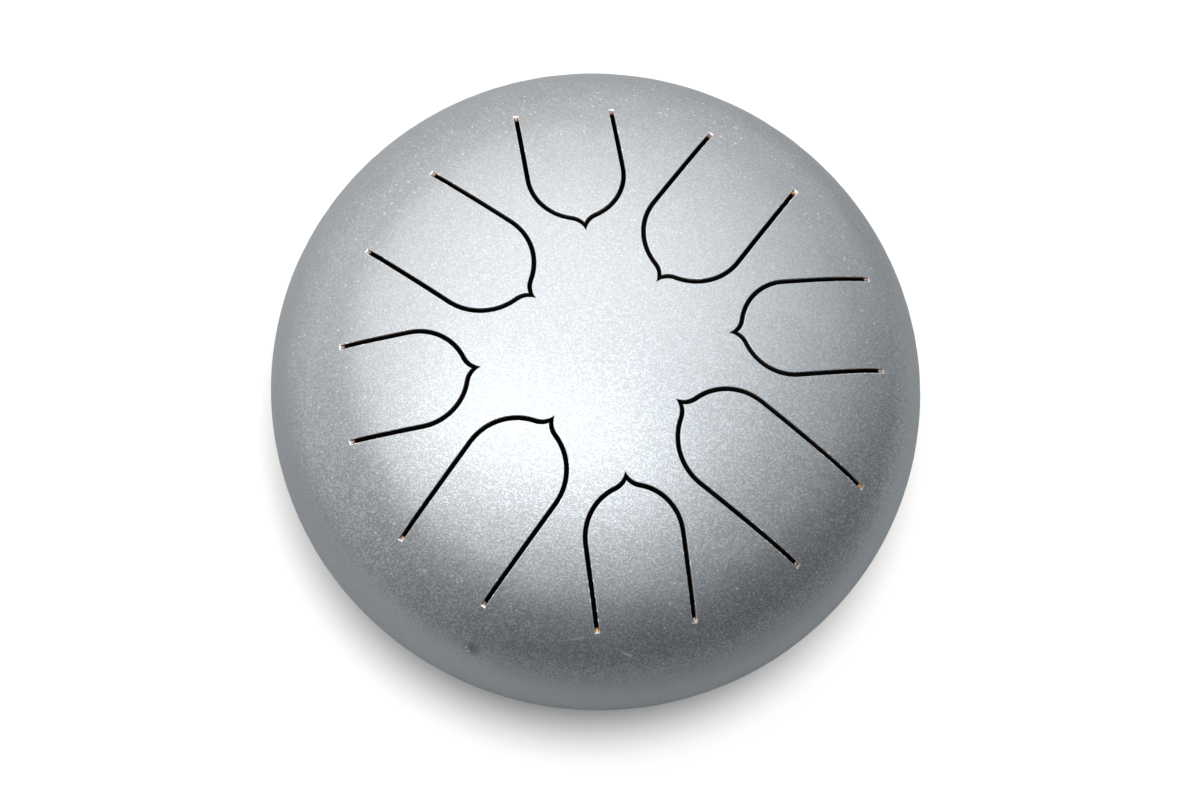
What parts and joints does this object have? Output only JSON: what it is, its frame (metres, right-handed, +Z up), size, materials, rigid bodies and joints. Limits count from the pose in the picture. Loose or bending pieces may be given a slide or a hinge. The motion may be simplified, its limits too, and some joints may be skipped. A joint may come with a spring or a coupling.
{
  "type": "steel tongue drum",
  "caption": "Round steel tongue drum: two pressed domes welded at the rim, ogee-tipped tongues cut in the top that flex when struck, a sound hole below and screwed-on rubber feet.",
  "frame": {"origin": "on the drum's axis, at the level of the rubber feet's soles", "axes": "+Z up along the drum's axis; -Y is the front, the side nearest the camera in the picture, midway between two tongues"},
  "size_m": [0.254, 0.254, 0.1241],
  "materials": {
    "silver_paint": "metallic silver paint with bright flakes and fine orange peel",
    "black_rubber": "matte moulded rubber",
    "zinc_steel": "bright zinc plate",
    "white_nylon": "moulded nylon"
  },
  "bodies": {
    "drum_body": {"bottom_shell": "silver_paint", "foot_front_left": "black_rubber", "foot_front_right": "black_rubber", "foot_lock_nuts": "zinc_steel", "foot_nut_washers": "zinc_steel", "foot_rear_left": "black_rubber", "foot_rear_right": "black_rubber", "foot_screw_washers": "zinc_steel", "foot_screws": "zinc_steel", "foot_seals": "black_rubber", "lock_nut_inserts": "white_nylon", "seam_weld": "silver_paint", "top_shell": "silver_paint"},
    "tongue_1": {"tongue_1": "silver_paint"},
    "tongue_2": {"tongue_2": "silver_paint"},
    "tongue_3": {"tongue_3": "silver_paint"},
    "tongue_4": {"tongue_4": "silver_paint"},
    "tongue_5": {"tongue_5": "silver_paint"},
    "tongue_6": {"tongue_6": "silver_paint"},
    "tongue_7": {"tongue_7": "silver_paint"},
    "tongue_8": {"tongue_8": "silver_paint"}
  },
  "joints": [
    {"name": "tongue_1_flex", "type": "hinge", "parent": "drum_body", "child": "tongue_1", "pos_m": [0.09329, -0.03864, 0.10508], "axis": [-0.3827, -0.9239, 0], "range_deg": [-1, 1], "stiffness_Nm_per_rad": 3.04, "springref_deg": -0.15},
    {"name": "tongue_2_flex", "type": "hinge", "parent": "drum_body", "child": "tongue_2", "pos_m": [-0.03707, -0.0895, 0.1069], "axis": [-0.9239, 0.3827, 0], "range_deg": [-1, 1], "stiffness_Nm_per_rad": 2.45, "springref_deg": -0.16},
    {"name": "tongue_3_flex", "type": "hinge", "parent": "drum_body", "child": "tongue_3", "pos_m": [0.03569, 0.08618, 0.10816], "axis": [0.9239, -0.3827, 0], "range_deg": [-1, 1], "stiffness_Nm_per_rad": 2, "springref_deg": -0.18},
    {"name": "tongue_4_flex", "type": "hinge", "parent": "drum_body", "child": "tongue_4", "pos_m": [-0.08433, 0.03493, 0.10882], "axis": [0.3827, 0.9239, 0], "range_deg": [-1, 1], "stiffness_Nm_per_rad": 1.78, "springref_deg": -0.18},
    {"name": "tongue_5_flex", "type": "hinge", "parent": "drum_body", "child": "tongue_5", "pos_m": [0.09348, 0.03872, 0.10498], "axis": [0.3827, -0.9239, 0], "range_deg": [-1, 1], "stiffness_Nm_per_rad": 1.25, "springref_deg": -0.2},
    {"name": "tongue_6_flex", "type": "hinge", "parent": "drum_body", "child": "tongue_6", "pos_m": [0.03765, -0.09089, 0.10629], "axis": [-0.9239, -0.3827, 0], "range_deg": [-1, 1], "stiffness_Nm_per_rad": 1.03, "springref_deg": -0.21},
    {"name": "tongue_7_flex", "type": "hinge", "parent": "drum_body", "child": "tongue_7", "pos_m": [-0.03569, 0.08618, 0.10816], "axis": [0.9239, 0.3827, 0], "range_deg": [-1, 1], "stiffness_Nm_per_rad": 0.7, "springref_deg": -0.24},
    {"name": "tongue_8_flex", "type": "hinge", "parent": "drum_body", "child": "tongue_8", "pos_m": [-0.08599, -0.03562, 0.10823], "axis": [-0.3827, 0.9239, 0], "range_deg": [-1, 1], "stiffness_Nm_per_rad": 0.69, "springref_deg": -0.24}
  ]
}
